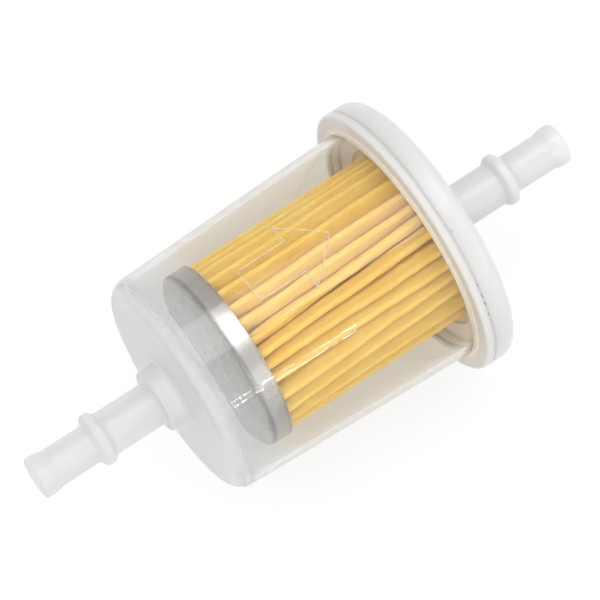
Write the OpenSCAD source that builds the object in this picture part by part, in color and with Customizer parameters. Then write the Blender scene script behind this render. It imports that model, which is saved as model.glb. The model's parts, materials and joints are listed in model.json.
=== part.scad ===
// In-line fuel filter for small engines: a clear bowl and a milky lid, welded
// rim to rim around a pleated paper element. The filter's axis lies along X,
// with the inlet at -X, the outlet at +X and the origin half way between tips.

/* [Body] */
// Length between the bowl's end face and the lid's outer face
body_len = 49; // [44:0.5:56]
// Diameter of the bowl's flange and of the lid's rim
rim_d = 46.6; // [45:0.1:52]
// Outer diameter of the bowl where it meets its flange
bowl_mouth_d = 40.4; // [39.6:0.1:41.4]
// Outer diameter of the bowl at its closed end, smaller for mould draft
bowl_end_d = 37.2; // [36.8:0.1:39]
// Wall thickness of the bowl's side
wall = 1.1; // [0.9:0.05:1.4]
// Wall thickness of the bowl's end and of the hollow boss
end_wall = 1.2; // [1:0.05:1.5]
// Radius of the corner between the bowl's side and its end
bowl_corner_r = 3.0; // [2:0.1:3.5]
// Thickness of the bowl's flange
bowl_flange_t = 1.25; // [1:0.05:1.6]

/* [Lid] */
// Thickness of the lid's disc
lid_t = 4.25; // [3.9:0.05:5]
// Radius of the lid's outer edge
lid_edge_r = 2.2; // [1.5:0.1:2.6]
// Depth of the groove that the element is potted into
groove_depth = 1.95; // [1.8:0.05:2.4]

/* [Nipples] */
// Length of each nipple, from its tip to the face it stands on
nipple_len = 25; // [22:0.5:30]
// Bore of the fuel passage
bore_d = 3.6; // [3:0.1:4]
// Tube diameter of the first step, for 1/4 inch hose
tube_d = 6.35; // [6:0.05:6.6]
// Crest diameter of the barb at the tip
barb_d = 7.05; // [6.9:0.05:7.2]
// Tube diameter of the second step, for 5/16 inch hose
step_d = 7.25; // [7.2:0.05:7.9]
// Crest diameter of the bead between the two steps
bead_d = 8.9; // [8.4:0.1:9.4]
// Distance from the tip to the middle of the bead
bead_at = 11.4; // [10:0.1:12.5]
// Diameter of the boss at the nipple's root
boss_d = 10.6; // [10:0.1:11.4]
// Height of the boss
boss_h = 3.2; // [2.6:0.1:3.6]

/* [Element] */
// Number of pleats in the paper
pleats = 32; // [28:1:38]
// Diameter over the pleats
paper_d = 29.6; // [28.8:0.1:29.7]
// Diameter of the hollow core inside the pleats
core_d = 14.8; // [14.6:0.1:16.4]
// Thickness of the filter paper
paper_t = 0.45; // [0.4:0.01:0.5]
// Outer diameter of the metal end cap
cap_d = 30.6; // [30.6:0.1:31.4]
// Depth of the metal end cap, over its face
cap_h = 3.75; // [3.2:0.05:4.5]
// Sheet thickness of the metal end cap
cap_t = 0.35; // [0.25:0.01:0.4]
// Space between the bowl's end wall and the cap, where the fuel spreads out
inlet_gap = 7.0; // [6:0.1:8]

/* [Hidden] */
$fn = 96;

// Stations along the axis.
lid_face = body_len / 2;
bowl_face = -body_len / 2;
tip = lid_face + nipple_len;
weld_t = 0.25;
lid_seat = lid_face - lid_t;
bowl_mouth = lid_seat - weld_t;
bowl_flange_face = bowl_mouth - bowl_flange_t;
bowl_floor = bowl_face + end_wall;
cap_face = bowl_floor + inlet_gap;
cap_inside = cap_face + cap_t;
groove_floor = lid_seat + groove_depth;

// Potting compound and how far the paper is set into it.
potting_t = 1.55;
paper_set_in = 1.0;
paper_from = cap_inside + potting_t - paper_set_in;
paper_to = groove_floor - potting_t + paper_set_in;

// Room between the paper and the two sides of the lid's groove.
hub_gap = 1.2;
groove_gap = 1.0;

// Radii.
rim_r = rim_d / 2;
mouth_r = bowl_mouth_d / 2;
end_r = bowl_end_d / 2;
bore_r = bore_d / 2;
tube_r = tube_d / 2;
barb_r = barb_d / 2;
step_r = step_d / 2;
bead_r = bead_d / 2;
boss_r = boss_d / 2;
pocket_r = boss_r - wall;
cap_r = cap_d / 2;
paper_r = paper_d / 2;
core_r = core_d / 2;
hub_r = core_r - hub_gap;
groove_r = paper_r + groove_gap;

// The weld stops short of the rim, which leaves a fine open seam round it, and
// short of the bowl's mouth.
seam_depth = 0.9;
weld_inset = 0.6;
weld_inner_r = mouth_r - wall + weld_inset;
weld_outer_r = rim_r - seam_depth;

// Small edges.
barb_land = 1.1;
barb_back = 1.4;
bead_land = 1.0;
bead_slope = 0.95;
tip_round = 0.6;
bead_round = 0.35;
boss_round = 0.5;
flange_edge_r = 0.9;
flange_root_r = 0.6;
seam_chamfer = 0.3;
cap_edge_r = 0.6;
pocket_round = 0.5;

// How far a cutting shape runs past what it cuts.
overcut = 1;

// Points of an arc about [r, a], between two angles.
function arc(r, a, radius, from, to, steps = 6) =
    [for (i = [0:steps])
        let (angle = from + (to - from) * i / steps)
            [r + radius * cos(angle), a + radius * sin(angle)]];

// Outside of a nipple as [radius, distance from the tip], tip first. It ends
// where the boss meets the face that the nipple stands on.
nipple_outline = concat(
    [[bore_r, 0]],
    arc(barb_r - tip_round, tip_round, tip_round, -90, 0),
    [[barb_r, tip_round + barb_land],
     [tube_r, tip_round + barb_land + barb_back],
     [tube_r, bead_at - bead_land / 2 - bead_slope],
     [bead_r - bead_round, bead_at - bead_land / 2 - bead_round / 2],
     [bead_r, bead_at - bead_land / 2],
     [bead_r, bead_at + bead_land / 2],
     [bead_r - bead_round, bead_at + bead_land / 2 + bead_round / 2],
     [step_r, bead_at + bead_land / 2 + bead_slope],
     [step_r, nipple_len - boss_h]],
    arc(boss_r - boss_round, nipple_len - boss_h + boss_round, boss_round, -90, 0),
    [[boss_r, nipple_len]]
);

// Distance that the bowl's side leans in per millimetre of depth.
draft = (mouth_r - end_r) / (bowl_flange_face - bowl_face);
draft_angle = atan(draft);

// Outer radius of the bowl's side at a station on the axis.
function side_r(a) = end_r + draft * (a - bowl_face);

// Half outline of the bowl, from the inlet tip round to the bore again.
function bowl_outline() =
    let (corner_a = bowl_face + bowl_corner_r,
         corner_c = side_r(corner_a) - bowl_corner_r,
         inner_corner_r = bowl_corner_r - wall / 2,
         inner_corner_a = bowl_floor + inner_corner_r,
         inner_c = side_r(inner_corner_a) - wall - inner_corner_r)
    concat(
        [for (p = nipple_outline) [p[0], p[1] - tip]],
        arc(corner_c, corner_a, bowl_corner_r, -90, draft_angle / 2),
        arc(mouth_r + flange_root_r, bowl_flange_face - flange_root_r,
            flange_root_r, 180, 90),
        arc(rim_r - flange_edge_r, bowl_flange_face + flange_edge_r,
            flange_edge_r, -90, 0),
        [[rim_r, bowl_mouth], [mouth_r - wall, bowl_mouth]],
        arc(inner_c, inner_corner_a, inner_corner_r, 0, -90),
        arc(pocket_r + pocket_round, bowl_floor - pocket_round, pocket_round, 90, 180),
        arc(pocket_r - pocket_round, bowl_floor - boss_h + pocket_round,
            pocket_round, 0, -90),
        [[bore_r, bowl_floor - boss_h]]
    );

// Half outline of the lid, from the outlet tip round to the bore again.
function lid_outline() = concat(
    [for (p = nipple_outline) [p[0], tip - p[1]]],
    arc(rim_r - lid_edge_r, lid_face - lid_edge_r, lid_edge_r, 90, 0),
    [[rim_r, lid_seat + seam_chamfer],
     [rim_r - seam_chamfer, lid_seat],
     [groove_r, lid_seat],
     [groove_r, groove_floor],
     [hub_r, groove_floor],
     [hub_r, lid_seat],
     [pocket_r, lid_seat],
     [pocket_r, lid_face + boss_h - end_wall],
     [bore_r, lid_face + boss_h - end_wall]]
);

// Half outline of the end cap: a shallow cup drawn from sheet metal.
function cap_outline() = concat(
    [[0, cap_face]],
    arc(cap_r - cap_edge_r, cap_face + cap_edge_r, cap_edge_r, -90, 0),
    [[cap_r, cap_face + cap_h], [cap_r - cap_t, cap_face + cap_h]],
    arc(cap_r - cap_edge_r, cap_face + cap_edge_r, cap_edge_r - cap_t, 0, -90),
    [[0, cap_inside]]
);

// Turns a half outline of [radius, station] points about the filter's axis.
module turned(outline) {
    rotate([0, 90, 0])
        rotate_extrude()
            polygon(outline);
}

// A round ring or disc between two stations on the axis.
module ring(outer, inner, from, to) {
    rotate([0, 90, 0])
        translate([0, 0, from])
            difference() {
                cylinder(r = outer, h = to - from);
                if (inner > 0)
                    translate([0, 0, -overcut])
                        cylinder(r = inner, h = to - from + 2 * overcut);
            }
}

// Pleat geometry. A fold is as wide as its two leaves, and the two faces of a
// leaf run from fold to fold. The first fold is turned a little from straight
// down.
pitch = 360 / pleats;
first_fold = 7.45;
outer_fold = paper_t / paper_r * 180 / PI;
inner_fold = paper_t / core_r * 180 / PI;
seam_angle = 1.5 * pitch;
seam_slot = 0.25;
seam_reach = 2.2;
seam_half = 0.75 * paper_t;

function polar(r, angle) = [r * cos(angle), r * sin(angle)];

// The paper's outer face: blunt folds outside, sharp valleys inside.
outer_face = [for (k = [0:pleats - 1]) for (p = [
    polar(paper_r, k * pitch - outer_fold),
    polar(paper_r, k * pitch + outer_fold),
    polar(core_r + paper_t, (k + 0.5) * pitch)]) p];

// The paper's inner face: sharp folds outside, blunt folds inside.
inner_face = [for (k = [0:pleats - 1]) for (p = [
    polar(paper_r - paper_t, k * pitch),
    polar(core_r, (k + 0.5) * pitch - inner_fold),
    polar(core_r, (k + 0.5) * pitch + inner_fold)]) p];

// Section of the pleated paper, cut open along the seam where the two ends of
// the strip meet.
module paper_section() {
    rotate(first_fold)
        difference() {
            polygon(outer_face);
            polygon(inner_face);
            rotate(seam_angle)
                translate([core_r - overcut, -seam_slot / 2])
                    square([paper_t + 2 * overcut, seam_slot]);
        }
}

// The section carried along the axis between two stations.
module paper_between(from, to) {
    rotate([0, 90, 0])
        translate([0, 0, from])
            linear_extrude(height = to - from)
                paper_section();
}

// Clear housing with the inlet nipple moulded in.
module bowl() {
    color([0.86, 0.87, 0.87, 0.35])
        turned(bowl_outline());
}

// Milky cover with the outlet nipple moulded in.
module lid() {
    color([0.93, 0.93, 0.92])
        turned(lid_outline());
}

// Ring of melted plastic that joins the lid to the bowl's flange.
module weld_bead() {
    color([0.88, 0.87, 0.86])
        ring(weld_outer_r, weld_inner_r, bowl_mouth, lid_seat);
}

// Pressed tinplate cap that closes the element's inlet end.
module end_cap() {
    color([0.72, 0.73, 0.73])
        turned(cap_outline());
}

// Potting compound poured into the end cap around the ends of the pleats.
module cap_potting() {
    color([0.90, 0.84, 0.68])
        difference() {
            ring(cap_r - cap_t, 0, cap_inside, cap_inside + potting_t);
            paper_between(paper_from, paper_from + 2 * potting_t);
        }
}

// The filter medium: one strip of paper, folded and closed into a ring.
module pleated_paper() {
    color([0.95, 0.79, 0.42])
        paper_between(paper_from, paper_to);
}

// Bead of adhesive that joins the two ends of the strip. It fills the slot
// between them and the bottom of the valley outside it.
module seam_adhesive() {
    color([0.92, 0.86, 0.70])
        difference() {
            rotate([0, 90, 0])
                translate([0, 0, cap_inside + potting_t])
                    linear_extrude(height = groove_floor - cap_inside - 2 * potting_t)
                        rotate(first_fold + seam_angle)
                            translate([core_r, -seam_half])
                                square([seam_reach, 2 * seam_half]);
            paper_between(paper_from, paper_to);
        }
}

// Potting compound in the lid's groove around the other ends of the pleats.
module lid_potting() {
    color([0.90, 0.84, 0.68])
        difference() {
            ring(groove_r, hub_r, groove_floor - potting_t, groove_floor);
            paper_between(paper_to - 2 * potting_t, paper_to);
        }
}

bowl();
lid();
weld_bead();
end_cap();
cap_potting();
pleated_paper();
seam_adhesive();
lid_potting();
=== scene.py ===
"""The looks of the in-line fuel filter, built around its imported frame. Lengths named _MM are in millimetres,
and everything handed to Blender is in metres. The filter's axis is X, with the inlet at -X."""

import json
import math
import random
from collections import namedtuple

import bpy
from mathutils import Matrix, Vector


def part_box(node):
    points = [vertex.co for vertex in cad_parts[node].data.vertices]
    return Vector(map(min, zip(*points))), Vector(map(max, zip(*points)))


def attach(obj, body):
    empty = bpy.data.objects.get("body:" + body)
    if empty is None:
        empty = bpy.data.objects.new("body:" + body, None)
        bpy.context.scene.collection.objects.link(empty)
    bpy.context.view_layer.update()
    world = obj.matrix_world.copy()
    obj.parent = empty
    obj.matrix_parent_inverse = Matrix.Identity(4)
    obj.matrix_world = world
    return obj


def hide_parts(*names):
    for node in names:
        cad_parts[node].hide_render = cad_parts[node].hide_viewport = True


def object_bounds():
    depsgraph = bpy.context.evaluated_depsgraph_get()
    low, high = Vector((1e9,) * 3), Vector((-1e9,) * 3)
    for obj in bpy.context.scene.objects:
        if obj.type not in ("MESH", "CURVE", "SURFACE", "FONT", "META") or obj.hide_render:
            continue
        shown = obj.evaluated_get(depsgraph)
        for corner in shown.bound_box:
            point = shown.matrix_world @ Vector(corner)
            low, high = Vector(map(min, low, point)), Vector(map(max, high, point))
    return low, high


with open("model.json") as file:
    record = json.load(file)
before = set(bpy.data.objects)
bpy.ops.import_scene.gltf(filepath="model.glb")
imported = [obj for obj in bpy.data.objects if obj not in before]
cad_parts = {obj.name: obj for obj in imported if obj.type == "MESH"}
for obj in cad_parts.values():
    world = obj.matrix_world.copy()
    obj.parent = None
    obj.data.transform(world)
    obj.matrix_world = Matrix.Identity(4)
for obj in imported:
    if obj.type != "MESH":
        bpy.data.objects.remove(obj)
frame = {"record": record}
cad_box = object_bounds()

MM = 0.001
BODY = "root"


# ---------------------------------------------------------------- dimensions

def corner(node):
    """A CAD node's lowest and highest corners, in millimetres."""
    low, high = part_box(node)
    return low / MM, high / MM


def mount_radius(name):
    """The radius of one of the record's round mounts, in millimetres."""
    return next(m["dims"]["r_mm"] for m in frame["record"]["mounts"] if m["name"] == name)


BOWL_LOW, BOWL_HIGH = corner("bowl")
LID_LOW, LID_HIGH = corner("lid")
CAP_LOW, CAP_HIGH = corner("end_cap")
PAPER_LOW, PAPER_HIGH = corner("pleated_paper")
CAP_POTTING_LOW, CAP_POTTING_HIGH = corner("cap_potting")
LID_POTTING_LOW, LID_POTTING_HIGH = corner("lid_potting")

TIP = LID_HIGH.x
RIM_R = LID_HIGH.z
BORE_R = mount_radius("inlet_port")
BARB_R = mount_radius("inlet_barb")
BEAD_R = mount_radius("inlet_bead")

# Along the axis, from a nipple's tip.
NIPPLE_MM = 25.0
BARB_LAND_MM = 1.75
BARB_END_MM = 3.1
BEAD_MM = 11.4
BEAD_LAND_MM = 1.1
BEAD_FOOT_MM = 2.9
BOSS_MM = 3.2
END_WALL_MM = 1.2

TUBE_R = 3.175
STEP_R = 3.625
BOSS_R = 5.3
POCKET_R = 4.2
WALL_MM = 1.1
BOWL_CORNER_MM = 3.0
MOUTH_R = 20.2
END_R = 18.6
CHAMBER_R = MOUTH_R - WALL_MM
# Between pieces that lie against each other.
CLEARANCE_MM = 0.02

LID_FACE = TIP - NIPPLE_MM
BOWL_FACE = -LID_FACE
BOWL_FLOOR = BOWL_FACE + END_WALL_MM
FLANGE_FACE = BOWL_HIGH.x - 1.25
GROOVE_FLOOR = LID_POTTING_HIGH.x
GROOVE_R = LID_POTTING_HIGH.z
HUB_R = 6.2

# The angle round the axis, from straight up, at which the filter is seen face on.
FACING = math.radians(18.7)

# Where the weld falls short of the rim, and half the angle over which it does.
OPEN_SEAM = FACING + math.radians(40)
OPEN_HALF = math.radians(13)

# The flow arrow on the bowl's side. Its lengths run from the bowl's face, its angles from its middle line.
ARROW_MIDDLE = FACING - math.radians(21.8)
ARROW_TAIL_MM = 15.5
ARROW_BARB_MM = 23.9
ARROW_TIP_MM = 30.3
SHAFT_HALF = math.radians(8.9)
BARB_HALF = math.radians(17.8)
ARROW_LINE_MM = 0.2
ARROW_RISE_MM = 0.05


# ------------------------------------------------------------ mesh functions

def rounded(points):
    """Turns (x, r, corner radius) points into a closed outline of (x, r), with each corner as an arc."""
    outline = []
    count = len(points)
    for i, (x, r, radius) in enumerate(points):
        here = Vector((x, r))
        if radius <= 0:
            outline.append((x, r))
            continue
        before = (Vector(points[i - 1][:2]) - here)
        after = (Vector(points[(i + 1) % count][:2]) - here)
        turn = math.pi - before.angle(after)
        reach = radius * math.tan(turn / 2)
        reach = min(reach, 0.49 * before.length, 0.49 * after.length)
        radius = reach / math.tan(turn / 2)
        middle = (before.normalized() + after.normalized()).normalized()
        centre = here + middle * math.hypot(radius, reach)
        first = (here + before.normalized() * reach - centre).normalized()
        last = (here + after.normalized() * reach - centre).normalized()
        steps = max(3, math.ceil(math.degrees(turn) / 9))
        outline += [tuple(centre + first.slerp(last, k / steps) * radius) for k in range(steps + 1)]
    return outline


def turns_left(outline):
    """True if a closed outline of (x, r) runs anticlockwise."""
    pairs = zip(outline, outline[1:] + outline[:1])
    return sum(x0 * r1 - x1 * r0 for (x0, r0), (x1, r1) in pairs) > 0


def new_piece(name, vertices, faces, material):
    """A smooth mesh object from points in millimetres, riding on the filter."""
    mesh = bpy.data.meshes.new(name)
    mesh.from_pydata([Vector(v) * MM for v in vertices], [], faces)
    mesh.validate()
    mesh.polygons.foreach_set("use_smooth", [True] * len(mesh.polygons))
    mesh.update()
    piece = bpy.data.objects.new(name, mesh)
    bpy.context.scene.collection.objects.link(piece)
    mesh.materials.append(material)
    return piece


def around(x, r, angle):
    """The point at radius r from the axis. The angle is in radians from +Z towards -Y."""
    return (x, -r * math.sin(angle), r * math.cos(angle))


def skin(rows, ring=False):
    """Faces that join rows of points, each row a closed loop. In a ring, the last row meets the first."""
    count = len(rows[0])
    faces = []
    for row in range(len(rows) if ring else len(rows) - 1):
        here = row * count
        following = (row + 1) % len(rows) * count
        for c in range(count):
            d = (c + 1) % count
            faces.append((here + c, here + d, following + d, following + c))
    return faces


def lathe(name, outline, material, steps=192, wobble=None):
    """Turns a closed outline of (x, r) about the axis. A point with r at 0 closes the form there.

    wobble gives how far a point at a radius and an angle is moved along the axis and away from it."""
    if not turns_left(outline):
        outline = outline[::-1]
    vertices, faces, rings = [], [], []
    for i, (x, r) in enumerate(outline):
        if r < 1e-6:
            rings.append([len(vertices)] * steps)
            vertices.append((x, 0, 0))
            continue
        ring = []
        for k in range(steps):
            angle = 2 * math.pi * k / steps
            dx, dr = wobble(r, angle) if wobble else (0, 0)
            ring.append(len(vertices))
            vertices.append(around(x + dx, r + dr, angle))
        rings.append(ring)
    for i, ring in enumerate(rings):
        following = rings[(i + 1) % len(rings)]
        for k in range(steps):
            j = (k + 1) % steps
            face = list(dict.fromkeys((ring[k], following[k], following[j], ring[j])))
            if len(face) > 2:
                faces.append(face)
    piece = new_piece(name, vertices, faces, material)
    normals = piece.modifiers.new("normals", "WEIGHTED_NORMAL")
    normals.keep_sharp = True
    return piece


# ------------------------------------------------------------ material nodes

class Recipe:
    """A node material with one Principled shader."""

    def __init__(self, name, **values):
        self.material = bpy.data.materials.new(name)
        self.material.use_nodes = True
        self.tree = self.material.node_tree
        self.shader = self.tree.nodes["Principled BSDF"]
        self.output = self.tree.nodes["Material Output"]
        self.place = self.add("ShaderNodeTexCoord").outputs["Object"]
        for key, value in values.items():
            self.shader.inputs[key.replace("_", " ")].default_value = value

    def add(self, kind, **settings):
        """A new node, with its properties set."""
        node = self.tree.nodes.new(kind)
        for key, value in settings.items():
            setattr(node, key, value)
        return node

    def link(self, source, target):
        self.tree.links.new(source, target)

    def noise(self, scale, detail=3.0, stretch=(1, 1, 1)):
        """Noise over the piece's own coordinates, scale being cells per metre."""
        mapping = self.add("ShaderNodeMapping")
        mapping.inputs["Scale"].default_value = stretch
        self.link(self.place, mapping.inputs["Vector"])
        noise = self.add("ShaderNodeTexNoise")
        noise.inputs["Scale"].default_value = scale
        noise.inputs["Detail"].default_value = detail
        self.link(mapping.outputs["Vector"], noise.inputs["Vector"])
        return noise.outputs["Fac"]

    def ranged(self, source, low, high, start=0.0, end=1.0):
        """source, from start to end, mapped on to low to high."""
        node = self.add("ShaderNodeMapRange")
        for key, value in (("From Min", start), ("From Max", end), ("To Min", low), ("To Max", high)):
            node.inputs[key].default_value = value
        self.link(source, node.inputs["Value"])
        return node.outputs["Result"]

    def math(self, operation, *operands):
        """The result of a sum over sockets or plain numbers."""
        node = self.add("ShaderNodeMath", operation=operation)
        for socket, operand in zip(node.inputs, operands):
            if isinstance(operand, (int, float)):
                socket.default_value = operand
            else:
                self.link(operand, socket)
        return node.outputs["Value"]

    def colour(self, source, *stops):
        """A colour ramp over (position, colour) stops."""
        ramp = self.add("ShaderNodeValToRGB").color_ramp
        node = self.tree.nodes[-1]
        while len(ramp.elements) < len(stops):
            ramp.elements.new(0.5)
        for element, (position, colour) in zip(ramp.elements, stops):
            element.position = position
            element.color = (*colour, 1)
        self.link(source, node.inputs["Fac"])
        return node.outputs["Color"]

    def radius(self):
        """Distance from the filter's axis, in metres."""
        across = self.add("ShaderNodeVectorMath", operation="MULTIPLY")
        across.inputs[1].default_value = (0, 1, 1)
        self.link(self.place, across.inputs[0])
        length = self.add("ShaderNodeVectorMath", operation="LENGTH")
        self.link(across.outputs["Vector"], length.inputs[0])
        return length.outputs["Value"]

    def blend(self, share, colour, other):
        """colour, giving way to other as share rises."""
        mix = self.add("ShaderNodeMix", data_type="RGBA")
        self.link(share, mix.inputs["Factor"])
        self.link(colour, mix.inputs["A"])
        self.link(other, mix.inputs["B"])
        return mix.outputs["Result"]

    def times(self, colour, other):
        """The product of two colours."""
        mix = self.add("ShaderNodeMix", data_type="RGBA", blend_type="MULTIPLY")
        mix.inputs["Factor"].default_value = 1
        self.link(colour, mix.inputs["A"])
        self.link(other, mix.inputs["B"])
        return mix.outputs["Result"]

    def bump(self, height, strength, distance):
        """Relief that follows height, up to distance in metres."""
        node = self.add("ShaderNodeBump")
        node.inputs["Strength"].default_value = strength
        node.inputs["Distance"].default_value = distance
        self.link(height, node.inputs["Height"])
        self.link(node.outputs["Normal"], self.shader.inputs["Normal"])

    def along(self, *stops):
        """A colour that follows the axis, over (millimetres, colour) stops. A plain number is a grey."""
        split = self.add("ShaderNodeSeparateXYZ")
        self.link(self.place, split.inputs["Vector"])
        start, end = stops[0][0], stops[-1][0]
        share = self.ranged(split.outputs["X"], 0, 1, start * MM, end * MM)
        scaled = []
        for place, colour in stops:
            colour = colour if isinstance(colour, tuple) else (colour,) * 3
            scaled.append(((place - start) / (end - start), colour))
        return self.colour(share, *scaled)

    def let_lamps_through(self, tint):
        """Rays from lamps pass straight through, so that what is inside is lit."""
        clear = self.add("ShaderNodeBsdfTransparent")
        clear.inputs["Color"].default_value = (*tint, 1)
        mix = self.add("ShaderNodeMixShader")
        self.link(self.add("ShaderNodeLightPath").outputs["Is Shadow Ray"], mix.inputs["Fac"])
        self.link(self.shader.outputs["BSDF"], mix.inputs[1])
        self.link(clear.outputs["BSDF"], mix.inputs[2])
        self.link(mix.outputs["Shader"], self.output.inputs["Surface"])


# The share of light that a thin wall of clear plastic lets through.
THIN_PLASTIC = (0.97, 0.97, 0.96)


def clear_plastic():
    """The bowl: clear at its thin wall and cloudy where it is thick; near its mouth, painted bounce light and
    a painted glow of the paper warm its colour.
    """
    recipe = Recipe(
        "clear_plastic", IOR=1.45, Specular_IOR_Level=0.2, Specular_Tint=(0.65, 0.65, 0.65, 1),
        Subsurface_Weight=0.4, Subsurface_Scale=0.003,
    )
    recipe.shader.inputs["Subsurface Radius"].default_value = (1, 1, 1)
    boss = BOWL_FACE - BOSS_MM
    radius = recipe.radius()
    out_in_flange = recipe.ranged(radius, 0, 1, (MOUTH_R + 0.1) * MM, (MOUTH_R + 0.7) * MM)
    flange = recipe.math("MAXIMUM", out_in_flange, recipe.along((FLANGE_FACE - 0.4, 0), (FLANGE_FACE, 1)))
    # Darker round the end's corner. Towards the mouth the colour warms: partly the plastic's own tone, partly
    # painted bounce light from the paper.
    tint = recipe.along(
        (boss, 0.64),
        (BOWL_FACE + 1, (0.735, 0.73, 0.725)),
        (BOWL_FACE + 2.2, 0.695),
        (BOWL_FACE + 3.6, 0.775),
        (BOWL_FACE + 9.5, (0.81, 0.80, 0.785)),
        (BOWL_FACE + 13, (0.80, 0.755, 0.68)),
    )
    # Painted light: the flange's inner wall is painted pale to lift the shade there, and a tan ring at its
    # root is a painted glow of the paper; further out the flange is plain milky grey.
    flange_tint_and_painted_glow = recipe.colour(
        recipe.ranged(radius, 0, 1, CHAMBER_R * MM, RIM_R * MM),
        (0, (0.93, 0.90, 0.84)),
        (0.27, (0.80, 0.66, 0.46)),
        (0.5, (0.63, 0.585, 0.52)),
        (0.9, (0.57, 0.555, 0.54)),
    )
    recipe.link(recipe.blend(flange, tint, flange_tint_and_painted_glow), recipe.shader.inputs["Base Color"])
    clear = recipe.along(
        (boss, 0.5),
        (BOWL_FACE + 0.5, 0.66),
        (BOWL_FACE + 1.3, 0.73),
        (BOWL_FACE + 2.8, 0.96),
        (BOWL_FACE + 8, 0.985),
    )
    clear = recipe.math("MULTIPLY", clear, recipe.ranged(flange, 1, 0.05))
    recipe.link(clear, recipe.shader.inputs["Transmission Weight"])
    haze = recipe.along(
        (boss, 0.35),
        (BOWL_FACE + 0.4, 0.34),
        (BOWL_FACE + 1.3, 0.3),
        (BOWL_FACE + 2.8, 0.05),
        (BOWL_FACE + 9, 0.02),
    )
    haze = recipe.math("ADD", haze, recipe.ranged(flange, 0, 0.28))
    rough = recipe.math("ADD", haze, recipe.ranged(recipe.noise(300), -0.005, 0.005))
    recipe.link(rough, recipe.shader.inputs["Roughness"])
    recipe.let_lamps_through(THIN_PLASTIC)
    return recipe.material


def arrow_plastic():
    """The bowl's own plastic, a little frosted where its mould is engraved."""
    recipe = Recipe(
        "arrow_plastic", Base_Color=(0.95, 0.89, 0.77, 1), IOR=1.45, Specular_IOR_Level=0.2,
        Specular_Tint=(0.5, 0.5, 0.5, 1), Transmission_Weight=0.74, Roughness=0.15,
    )
    recipe.let_lamps_through(THIN_PLASTIC)
    return recipe.material


def milky_plastic():
    """The lid: milky, with its faces inside the bowl's chamber painted paler, as painted light that lifts the
    shade there.
    """
    recipe = Recipe(
        "milky_plastic", IOR=1.5, Subsurface_Weight=0.6, Subsurface_Scale=0.004, Transmission_Weight=0.15,
    )
    recipe.shader.inputs["Subsurface Radius"].default_value = (1, 1, 1)
    # Painted light: faces within the chamber get a paler colour to lift the shade that the paper casts there.
    within = recipe.ranged(recipe.radius(), 1, 0, (CHAMBER_R + 0.2) * MM, (CHAMBER_R + 0.6) * MM)
    inside = recipe.math("MULTIPLY", within, recipe.along((LID_FACE - 1, 1), (LID_FACE - 0.6, 0)))
    paint = recipe.colour(inside, (0, (0.62, 0.615, 0.61)), (1, (0.88, 0.86, 0.82)))
    recipe.link(paint, recipe.shader.inputs["Base Color"])
    recipe.link(recipe.ranged(recipe.noise(250), 0.25, 0.34), recipe.shader.inputs["Roughness"])
    recipe.bump(recipe.noise(900), 0.04, 0.0002)
    return recipe.material


def weld_plastic():
    """The two plastics melted together, with a rough surface."""
    recipe = Recipe(
        "weld_plastic", Base_Color=(0.6, 0.59, 0.58, 1), IOR=1.5, Subsurface_Weight=0.6,
        Subsurface_Scale=0.002,
    )
    recipe.shader.inputs["Subsurface Radius"].default_value = (1, 1, 1)
    recipe.link(recipe.ranged(recipe.noise(2500), 0.35, 0.6), recipe.shader.inputs["Roughness"])
    recipe.bump(recipe.noise(4000), 0.3, 0.0002)
    return recipe.material


def filter_paper():
    """Resin-treated paper: golden, matt and blotchy, with fine fibres along the pleats."""
    recipe = Recipe("filter_paper", Specular_IOR_Level=0.05, Subsurface_Weight=0.5, Subsurface_Scale=0.002)
    recipe.shader.inputs["Subsurface Radius"].default_value = (1.0, 0.6, 0.25)
    blotch = recipe.noise(120, 4)
    fibre = recipe.noise(1400, 6, (0.25, 1, 1))
    mixed = recipe.math("ADD", recipe.math("MULTIPLY", blotch, 0.55), recipe.math("MULTIPLY", fibre, 0.45))
    colour = recipe.colour(
        mixed, (0.3, (0.88, 0.53, 0.115)), (0.5, (0.92, 0.595, 0.155)), (0.7, (0.95, 0.67, 0.23))
    )
    recipe.link(colour, recipe.shader.inputs["Base Color"])
    recipe.link(recipe.ranged(fibre, 0.8, 0.95), recipe.shader.inputs["Roughness"])
    recipe.bump(recipe.noise(1500, 8), 0.6, 0.0003)
    return recipe.material


def tinplate():
    """Smeared tinplate, with painted dark reflections as lines behind the cap's edge and before its lip, and
    its face painted a little lighter than its band.
    """
    recipe = Recipe("tinplate", Metallic=1.0)
    smear = recipe.noise(180, 4)
    sheet = recipe.colour(smear, (0.3, (0.56, 0.56, 0.56)), (0.7, (0.66, 0.66, 0.655)))
    # Painted reflection and shade: dark lines behind the edge and before the lip stand in for reflected dark
    # surroundings, and the band is painted a little darker than the face.
    painted_reflection_and_shade = recipe.along(
        (CAP_LOW.x + 0.1, 1),
        (CAP_LOW.x + 0.45, 0.55),
        (CAP_LOW.x + 0.7, 0.55),
        (CAP_LOW.x + 1.1, 0.91),
        (CAP_HIGH.x - 0.5, 0.87),
        (CAP_HIGH.x - 0.3, 0.65),
        (CAP_HIGH.x - 0.1, 0.91),
    )
    recipe.link(recipe.times(sheet, painted_reflection_and_shade), recipe.shader.inputs["Base Color"])
    recipe.link(recipe.ranged(smear, 0.2, 0.34), recipe.shader.inputs["Roughness"])
    recipe.bump(recipe.noise(500, 3), 0.03, 0.0003)
    return recipe.material


def potting_resin():
    """Amber resin, a little cloudy."""
    recipe = Recipe("potting_resin", IOR=1.5, Subsurface_Weight=0.4, Subsurface_Scale=0.002)
    blotch = recipe.noise(500, 4)
    colour = recipe.colour(blotch, (0.3, (0.78, 0.66, 0.44)), (0.7, (0.86, 0.76, 0.56)))
    recipe.link(colour, recipe.shader.inputs["Base Color"])
    recipe.link(recipe.ranged(blotch, 0.3, 0.5), recipe.shader.inputs["Roughness"])
    recipe.bump(recipe.noise(1500), 0.2, 0.0003)
    return recipe.material


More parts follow.
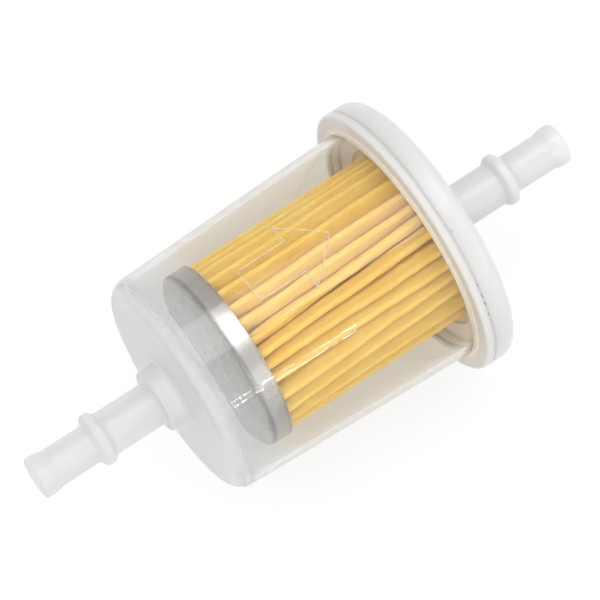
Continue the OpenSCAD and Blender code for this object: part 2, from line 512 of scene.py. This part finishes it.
def floor_paint():
    """A pale floor that gives off a little light, so that it melts into the surroundings."""
    recipe = Recipe(
        "floor_paint", Base_Color=(0.15, 0.15, 0.15, 1), Specular_IOR_Level=0.2, Emission_Color=(1, 1, 1, 1),
        Emission_Strength=0.8,
    )
    recipe.link(recipe.ranged(recipe.noise(40), 0.75, 0.85), recipe.shader.inputs["Roughness"])
    return recipe.material


# ------------------------------------------------------------------- pieces

def nipple_outline(flip):
    """Outside of a nipple, from its bore to its boss. flip is 1 for the outlet and -1 for the inlet."""
    def at(from_tip):
        return flip * (TIP - from_tip)
    return [
        (at(0), BORE_R, 0.3),
        (at(0), BARB_R, 0.6),
        (at(BARB_LAND_MM), BARB_R, 1.2),
        (at(BARB_END_MM), TUBE_R, 2.0),
        (at(BEAD_MM - BEAD_FOOT_MM / 2), TUBE_R, 0.6),
        (at(BEAD_MM - BEAD_LAND_MM / 2), BEAD_R, 0.7),
        (at(BEAD_MM + BEAD_LAND_MM / 2), BEAD_R, 0.7),
        (at(BEAD_MM + BEAD_FOOT_MM / 2), STEP_R, 0.6),
        (at(NIPPLE_MM - BOSS_MM), STEP_R, 0.5),
        (at(NIPPLE_MM - BOSS_MM), BOSS_R, 0.6),
    ]


def make_bowl():
    """The clear bowl, with its nipple, its boss and the flange round its mouth."""
    outline = nipple_outline(-1) + [
        (BOWL_FACE, BOSS_R, 1.0),
        (BOWL_FACE, END_R, BOWL_CORNER_MM),
        (FLANGE_FACE, MOUTH_R, 0.8),
        (FLANGE_FACE, RIM_R, 0.95),
        (BOWL_HIGH.x, RIM_R, 0.04),
        (BOWL_HIGH.x, CHAMBER_R, 0.1),
        (BOWL_FLOOR, END_R + 0.05 - WALL_MM, BOWL_CORNER_MM - WALL_MM / 2),
        (BOWL_FLOOR, POCKET_R, 0.6),
        (BOWL_FACE - BOSS_MM + END_WALL_MM, POCKET_R, 0.6),
        (BOWL_FACE - BOSS_MM + END_WALL_MM, BORE_R, 0.4),
    ]
    piece = lathe("bowl_shell", rounded(outline), clear_plastic())
    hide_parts("bowl")
    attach(piece, BODY)


def make_arrow():
    """The flow arrow, pointing to the outlet, as a fine raised outline on the bowl's side."""
    steps = 24
    corners = [
        (ARROW_TAIL_MM, -SHAFT_HALF),
        (ARROW_BARB_MM, -SHAFT_HALF),
        (ARROW_BARB_MM, -BARB_HALF),
        (ARROW_TIP_MM, 0),
        (ARROW_BARB_MM, BARB_HALF),
        (ARROW_BARB_MM, SHAFT_HALF),
        (ARROW_TAIL_MM, SHAFT_HALF),
    ]
    corners = [Vector((BOWL_FACE + along, MOUTH_R * turn)) for along, turn in corners]
    count = len(corners)
    mitres = []
    for i, here in enumerate(corners):
        before = (here - corners[i - 1]).normalized().orthogonal()
        after = (corners[(i + 1) % count] - here).normalized().orthogonal()
        middle = (before + after).normalized()
        mitres.append(middle * ARROW_LINE_MM / middle.dot(before))
    shoulder = 0.8 * ARROW_RISE_MM
    foot = -0.02
    section = [(-0.5, foot), (-0.3, shoulder), (0, ARROW_RISE_MM), (0.3, shoulder), (0.5, foot)]
    draft = (MOUTH_R - END_R) / (FLANGE_FACE - BOWL_FACE)
    rows = []
    for i in range(count):
        following = (i + 1) % count
        for k in range(steps):
            centre = corners[i].lerp(corners[following], k / steps)
            across = mitres[i].lerp(mitres[following], k / steps)
            row = []
            for side, rise in section:
                x, arc = centre + across * side
                r = END_R + draft * (x - BOWL_FACE) + rise
                row.append(around(x, r, ARROW_MIDDLE + arc / MOUTH_R))
            rows.append(row)
    piece = new_piece("flow_arrow", sum(rows, []), skin(rows, ring=True), arrow_plastic())
    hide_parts("bowl")
    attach(piece, BODY)


def make_lid():
    """The milky lid, with its nipple and the groove that the paper is potted in."""
    seat = LID_LOW.x
    outline = nipple_outline(1) + [
        (LID_FACE, BOSS_R, 0.6),
        (LID_FACE, RIM_R, 2.2),
        (seat, RIM_R, 0.04),
        (seat, GROOVE_R, 0.4),
        (GROOVE_FLOOR, GROOVE_R, 0.2),
        (GROOVE_FLOOR, HUB_R, 0.2),
        (seat, HUB_R, 0.3),
        (seat, POCKET_R, 0.3),
        (LID_FACE + BOSS_MM - END_WALL_MM, POCKET_R, 0.6),
        (LID_FACE + BOSS_MM - END_WALL_MM, BORE_R, 0.4),
    ]
    piece = lathe("lid_shell", rounded(outline), milky_plastic())
    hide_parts("lid")
    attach(piece, BODY)


def make_weld():
    """The weld, which fills the seam up to the rim but for a short, ragged stretch on the lower side."""
    inner = CHAMBER_R + 0.6
    outer = RIM_R - CLEARANCE_MM
    face = BOWL_HIGH.x + CLEARANCE_MM
    outline = [(face, inner, 0), (face, outer, 0.04), (LID_LOW.x, outer, 0.04), (LID_LOW.x, inner, 0)]

    def ragged(r, angle):
        """Pulls the weld's outer edge in: a little all round, and in deep notches at the open stretch."""
        if r < outer - 0.1:
            return 0, 0
        off = abs((angle - OPEN_SEAM + math.pi) % (2 * math.pi) - math.pi) / OPEN_HALF
        notches = max(0, math.sin(75 * angle + 1) + 0.6 * math.sin(121 * angle))
        return 0, -0.03 * math.sin(23 * angle) ** 2 - 0.7 * notches * max(0, 1 - off ** 2)

    piece = lathe("weld_ring", rounded(outline), weld_plastic(), 512, ragged)
    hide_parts("weld_bead")
    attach(piece, BODY)


def make_cap():
    """A drawn cup with a rounded edge and a rolled lip."""
    sheet = 0.35
    r = CAP_HIGH.z
    face, lip = CAP_LOW.x, CAP_HIGH.x
    outline = [
        (face, 0, 0),
        (face, r, 0.75),
        (lip, r, 0.17),
        (lip, r - sheet, 0.17),
        (face + sheet, r - sheet, 0.4),
        (face + sheet, 0, 0),
    ]
    piece = lathe("cap_shell", rounded(outline), tinplate())
    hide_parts("end_cap")
    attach(piece, BODY)


def make_potting(resin):
    """The resin in the cap and the ring of it in the lid's groove, their free surfaces a little dished."""
    dish = 0.25
    low, high = CAP_POTTING_LOW, CAP_POTTING_HIGH
    rim = high.z - CLEARANCE_MM
    outline = [
        (low.x, 0, 0),
        (low.x, rim, 0.1),
        (high.x, rim, 0.1),
        (high.x - dish, high.z - 2, 1),
        (high.x - dish, 0, 0),
    ]
    piece = lathe("cap_resin", rounded(outline), resin)
    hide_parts("cap_potting")
    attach(piece, BODY)
    low, high = LID_POTTING_LOW, LID_POTTING_HIGH
    inner = HUB_R + CLEARANCE_MM
    outer = GROOVE_R - CLEARANCE_MM
    floor = high.x - CLEARANCE_MM / 2
    outline = [
        (floor, inner, 0.1),
        (floor, outer, 0.1),
        (low.x, outer, 0.1),
        (low.x + dish, GROOVE_R - 1.5, 1),
        (low.x + dish, HUB_R + 1, 1),
        (low.x, inner, 0.1),
    ]
    piece = lathe("lid_resin", rounded(outline), resin)
    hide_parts("lid_potting")
    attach(piece, BODY)


PLEATS = 32
PITCH = 2 * math.pi / PLEATS
CORE_R = 7.4
PAPER_T = 0.42
# Radii of the paper's middle at its outer and inner folds.
RIDGE_R = 0.38
VALLEY_R = 0.3
# The pleats lean away from the angle at which they stand upright, by up to LEAN.
UPRIGHT = FACING - math.radians(8)
LEAN = math.radians(5)
# How far a leaf bulges, the share of the length over which it does less near the cap, and the least gap
# between leaves.
BELLY = 0.85
GAPE = 0.3
LEAST_GAP = 0.06
# Points along half a fold, and spaces along a leaf.
FOLD_STEPS = 4
LEAF_STEPS = 9
# The valley in which the strip's two ends meet.
SEAM_VALLEY = 16
# For each ridge in view, from the upper side round to the lower: how far its middle sits from an even
# spacing, and how far it drifts along the paper, in degrees.
RIDGES_SEEN = (
    (-0.4, -1.0), (-3.4, -1.0), (-4.6, -2.9), (-2.7, -2.4), (-1.6, -2.5), (-2.5, -4.7), (-3.3, -9.2),
    (-3.6, -7.7), (-4.4, -2.8), (-5.8, -1.7), (-5.4, -8.0), (-5.5, -9.7), (-2.6, -4.0),
)
WAVE = math.radians(0.55)
Fold = namedtuple("Fold", "angle drift radius phase")


def fold_places():
    """Every outer and inner fold, uneven as folded paper is."""
    dice = random.Random(7)
    outer = []
    for k in range(PLEATS):
        index = k if k <= PLEATS // 2 else k - PLEATS
        seen = index + len(RIDGES_SEEN) // 2
        shift, drift = dice.uniform(-2, 2), dice.uniform(-5, -1)
        if 0 <= seen < len(RIDGES_SEEN):
            shift, drift = RIDGES_SEEN[seen]
        if k in (SEAM_VALLEY, SEAM_VALLEY + 1):
            shift, drift = 0, 0
        radius = PAPER_HIGH.z - PAPER_T / 2 - abs(dice.gauss(0, 0.12))
        angle = FACING + k * PITCH + math.radians(shift)
        outer.append(Fold(angle, math.radians(drift), radius, dice.uniform(0, 2 * math.pi)))
    inner = []
    for k in range(PLEATS):
        ahead = outer[(k + 1) % PLEATS]
        turn = 2 * math.pi if k == PLEATS - 1 else 0
        angle = (outer[k].angle + ahead.angle + turn) / 2
        angle += math.radians(dice.uniform(-0.8, 0.8)) - LEAN * math.sin(angle - UPRIGHT)
        radius = CORE_R + PAPER_T / 2 + abs(dice.gauss(0, 0.15))
        inner.append(Fold(angle, (outer[k].drift + ahead.drift) / 2, radius, dice.uniform(0, 2 * math.pi)))
    return outer, inner


def angle_at(place, share):
    """Angle of a fold at a share of the paper's length."""
    wave = math.sin(2.2 * math.pi * share + place.phase) * math.sin(math.pi * share)
    wave += 0.25 * math.sin(19 * share + 3 * place.phase) + 0.2 * math.sin(47 * share + 5 * place.phase)
    return place.angle + place.drift * (share - 0.5) + WAVE * wave


def fold(before, here, after, radius):
    """The arc of a fold at here, between the leaves that lead to before and to after."""
    back = (before - here).normalized()
    onward = (after - here).normalized()
    inward = (back + onward).normalized()
    centre = here + inward * radius
    first = (back - inward * back.dot(inward)).normalized()
    last = (onward - inward * onward.dot(inward)).normalized()
    arms = [first.slerp(-inward, k / FOLD_STEPS) for k in range(FOLD_STEPS)]
    arms += [(-inward).slerp(last, k / FOLD_STEPS) for k in range(FOLD_STEPS + 1)]
    return [centre + arm * radius for arm in arms]


def leaf(start, end, valley, number, share):
    """Points between two folds. A pleat is fattest below its ridge, if it has the room for it."""
    span = end - start
    normal = Vector((-span.y, span.x)).normalized()
    inward_bound = number % 2 == 0
    valley = valley.normalized()
    fullness = BELLY * (0.05 + 0.95 * math.sin(math.pi / 2 * min(1, share / GAPE)))
    points = []
    for k in range(1, LEAF_STEPS):
        part = k / LEAF_STEPS
        depth = part if inward_bound else 1 - part
        point = start + span * part
        room = abs(point.x * valley.y - point.y * valley.x) - PAPER_T / 2 - LEAST_GAP
        bulge = min(fullness * math.sin(math.pi * depth ** 0.55), max(0, room))
        bulge += 0.05 * math.sin(math.pi * part) * math.sin(5 * share + 2.1 * number)
        points.append(point + normal * bulge)
    return points


def paper_section(places, share):
    """The closed line of the paper at a share of its length, as (across, up) points."""
    tops = []
    for place in places:
        angle = angle_at(place, share)
        tops.append(Vector((math.sin(angle), math.cos(angle))) * place.radius)
    count = len(tops)
    folds = []
    for i in range(count):
        radius = VALLEY_R if i % 2 else RIDGE_R
        folds.append(fold(tops[i - 1], tops[i], tops[(i + 1) % count], radius))
    section = []
    for i, points in enumerate(folds):
        following = (i + 1) % count
        valley = tops[following if i % 2 == 0 else i]
        section += points + leaf(points[-1], folds[following][0], valley, i, share)
    return section


def make_paper(outer, inner):
    """One strip of paper, folded to and fro between the core and the rim, and closed into a ring."""
    start, end = PAPER_LOW.x + 0.1, PAPER_HIGH.x - 0.1
    steps = 60
    places = [place for pair in zip(outer, inner) for place in pair]
    rows = []
    for row in range(steps + 1):
        share = row / steps
        x = start + (end - start) * share
        rows.append([(x, -p.x, p.y) for p in paper_section(places, share)])
    piece = new_piece("pleats", sum(rows, []), skin(rows), filter_paper())
    thick = piece.modifiers.new("thickness", "SOLIDIFY")
    thick.thickness = PAPER_T * MM
    thick.offset = 0
    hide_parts("pleated_paper")
    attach(piece, BODY)


def make_seam(valley, resin):
    """The bead of adhesive in the bottom of a valley, where the strip's two ends meet."""
    low, high = corner("seam_adhesive")
    middle_r = valley.radius + 1.1
    half_height = 0.9
    half_width = 0.36
    steps = 36
    sides = 16
    rows = []
    for row in range(steps + 1):
        along = row / steps
        x = low.x + (high.x - low.x) * along
        angle = angle_at(valley, (x - PAPER_LOW.x) / (PAPER_HIGH.x - PAPER_LOW.x))
        size = 0.85 + 0.15 * math.sin(11 * along + 1) * math.sin(5 * along)
        ring = []
        for k in range(sides):
            turn = 2 * math.pi * k / sides
            r = middle_r + half_height * size * math.cos(turn)
            ring.append(around(x, r, angle + half_width * size * math.sin(turn) / r))
        rows.append(ring)
    last = steps * sides
    ends = [list(range(sides))[::-1], [last + k for k in range(sides)]]
    piece = new_piece("seam_bead", sum(rows, []), skin(rows) + ends, resin)
    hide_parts("seam_adhesive")
    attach(piece, BODY)


make_bowl()
make_arrow()
make_lid()
make_weld()
make_cap()
resin = potting_resin()
make_potting(resin)
ridges, valleys = fold_places()
make_paper(ridges, valleys)
make_seam(valleys[SEAM_VALLEY], resin)


# -------------------------------------------------------------------- stage

def make_floor():
    """A wide floor, which the filter's rim rests on."""
    half = 3.0
    height = cad_box[0][2]
    mesh = bpy.data.meshes.new("floor")
    mesh.from_pydata(
        [(-half, -half, height), (half, -half, height), (half, half, height), (-half, half, height)],
        [], [(0, 1, 2, 3)],
    )
    floor = bpy.data.objects.new("floor", mesh)
    bpy.context.scene.collection.objects.link(floor)
    mesh.materials.append(floor_paint())


def area_light(name, place, size, power):
    """A softbox at place, facing the filter."""
    data = bpy.data.lights.new(name, "AREA")
    data.shape = "RECTANGLE"
    data.size, data.size_y = size
    data.energy = power
    lamp = bpy.data.objects.new(name, data)
    bpy.context.scene.collection.objects.link(lamp)
    lamp.location = place
    lamp.rotation_euler = (-Vector(place)).to_track_quat("-Z", "Y").to_euler()


# How bright the surroundings are on the filter's far and near sides.
WORLD_FAR = 0.85
WORLD_NEAR = 1.4


def make_world():
    """White surroundings, brighter on the near side, -Y, than on the far side."""
    world = bpy.data.worlds.new("studio")
    world.use_nodes = True
    background = world.node_tree.nodes["Background"]
    nodes, links = world.node_tree.nodes, world.node_tree.links
    split = nodes.new("ShaderNodeSeparateXYZ")
    links.new(nodes.new("ShaderNodeTexCoord").outputs["Generated"], split.inputs["Vector"])
    rise = nodes.new("ShaderNodeMapRange")
    for key, value in (("From Min", 1), ("From Max", -1), ("To Min", WORLD_FAR), ("To Max", WORLD_NEAR)):
        rise.inputs[key].default_value = value
    links.new(split.outputs["Y"], rise.inputs["Value"])
    links.new(rise.outputs["Result"], background.inputs["Strength"])
    background.inputs["Color"].default_value = (1, 1, 1, 1)
    bpy.context.scene.world = world


def make_camera():
    """A long lens, looking down on the filter with the bowl's end turned a little towards it."""
    look = Vector((0.2176, 0.3129, -0.9245)).normalized()
    right = Vector((0.821, -0.571, 0)).normalized()
    up = right.cross(look)
    distance = 0.543
    across_axis = 0.541 * right - 0.841 * up
    target = Vector((0.35, 0, 0)) * MM - 1.15 * MM * across_axis
    data = bpy.data.cameras.new("camera")
    data.lens = 210
    data.sensor_width = 36
    camera = bpy.data.objects.new("camera", data)
    bpy.context.scene.collection.objects.link(camera)
    camera.location = target - look * distance
    camera.rotation_euler = look.to_track_quat("-Z", "Y").to_euler()
    bpy.context.scene.camera = camera


make_floor()
make_world()
make_camera()
area_light("overhead", place=(0.1, 0.11, 1.0), size=(0.9, 0.56), power=4.4)
area_light("front", place=(-0.5, -0.9, 0.55), size=(0.8, 0.5), power=1.6)
# Two tubes side by side, for the thin double highlight along the bowl.
area_light("lower_strip", place=(0.036, -0.353, 0.186), size=(0.052, 0.002), power=0.04)
area_light("upper_strip", place=(0.036, -0.336, 0.215), size=(0.052, 0.002), power=0.04)
bpy.context.scene.view_settings.view_transform = "Standard"
